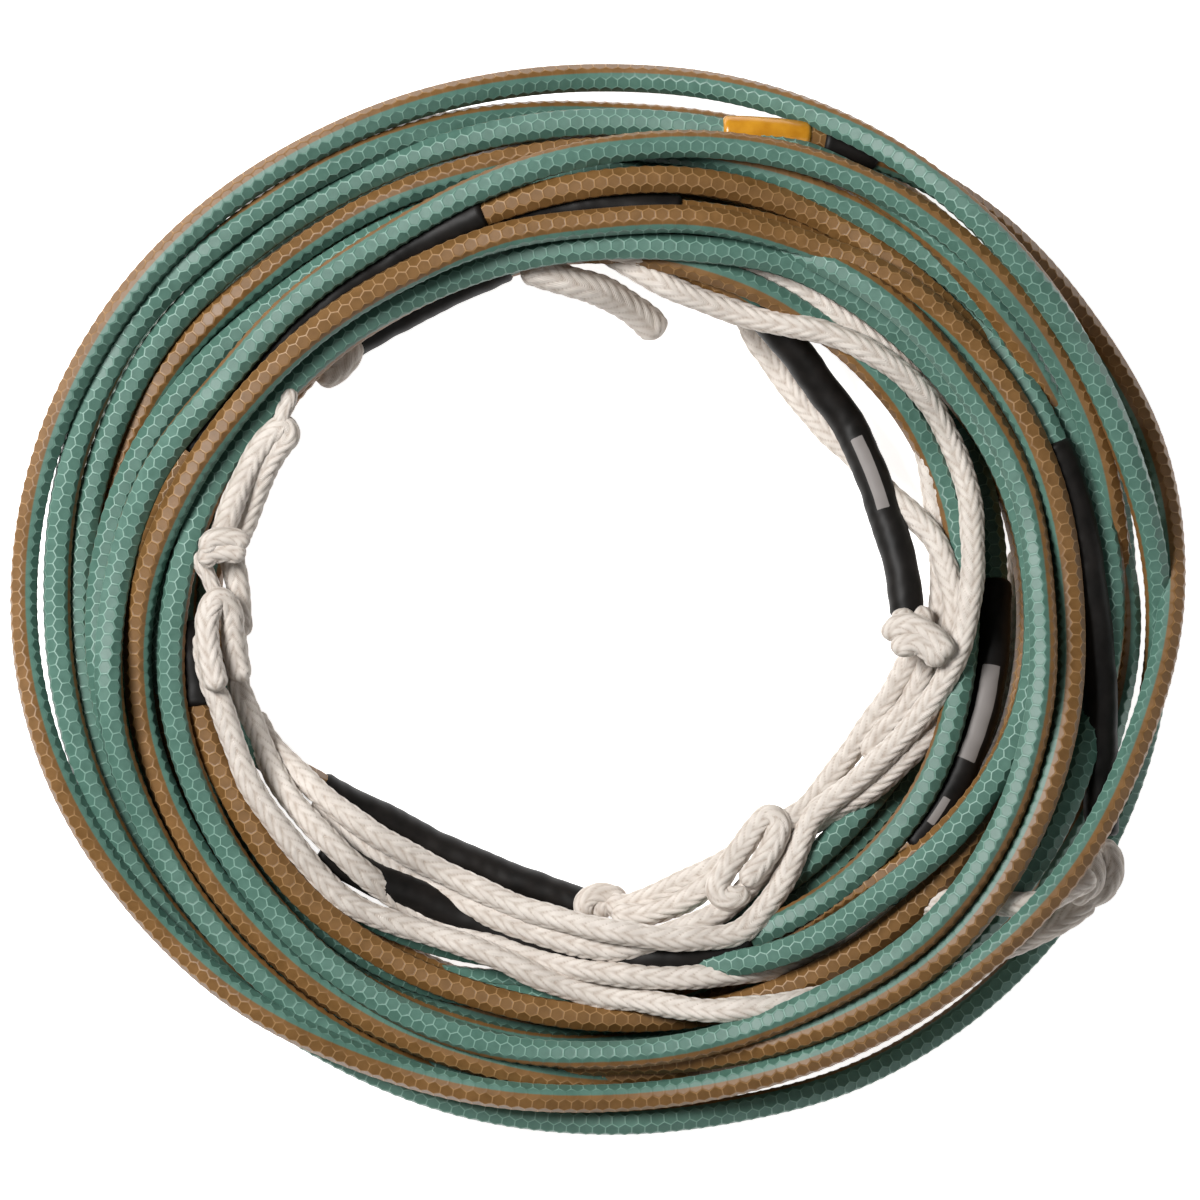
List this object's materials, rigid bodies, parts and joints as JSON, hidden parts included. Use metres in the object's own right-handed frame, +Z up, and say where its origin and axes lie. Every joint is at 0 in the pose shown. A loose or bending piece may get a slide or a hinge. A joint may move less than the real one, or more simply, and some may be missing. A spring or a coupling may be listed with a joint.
{
  "type": "coiled tow rope mainline",
  "caption": "Hank of coated tow rope with short add-on sections, white braided linking loops and black end sleeves, laid in a flat oval ring.",
  "frame": {"origin": "centre of the oval hank, on the surface it lies on", "axes": "+Z up out of that surface, +X along the hank's longer width, +Y along its shorter width"},
  "size_m": [0.3336, 0.3042, 0.0541],
  "materials": {
    "coated_teal": "satin coated line with a hexagonal emboss, mint teal side",
    "coated_tan": "satin coated line with a hexagonal emboss, tan side",
    "white_braid": "off-white braided fibre",
    "black_sleeve": "satin shrink tube, slightly wrinkled",
    "amber_sleeve": "smooth amber sleeve"
  },
  "bodies": {
    "root": {"main_line_coil": "coated_teal", "section_one_coil": "coated_teal", "section_two_coil": "coated_tan", "section_three_coil": "coated_tan", "section_four_coil": "coated_teal", "sleeve_main_line_start": "black_sleeve", "sleeve_main_line_end": "black_sleeve", "sleeve_section_one_start": "black_sleeve", "sleeve_section_one_end": "black_sleeve", "sleeve_section_two_start": "black_sleeve", "sleeve_section_two_end": "black_sleeve", "sleeve_section_three_start": "black_sleeve", "sleeve_section_three_end": "black_sleeve", "sleeve_section_four_start": "black_sleeve", "sleeve_section_four_end": "black_sleeve", "marker_sleeve": "amber_sleeve", "loop_strand_outer": "white_braid", "loop_strand_inner": "white_braid", "loop_strand_under_sleeve": "white_braid", "loop_strand_beside": "white_braid", "loop_strand_top": "white_braid", "loop_strand_short": "white_braid", "link_strand_outer": "white_braid", "link_strand_inner": "white_braid", "free_tail": "white_braid", "loop_end_left": "white_braid", "middle_link_leg_1": "white_braid", "middle_link_leg_2": "white_braid", "knot_section_three_start": "white_braid", "knot_middle_link": "white_braid", "knot_section_three_end": "white_braid", "knot_left_link": "white_braid", "knot_left_wrap": "white_braid", "knot_section_four_end": "white_braid", "knot_section_one_start": "white_braid"}
  },
  "joints": []
}
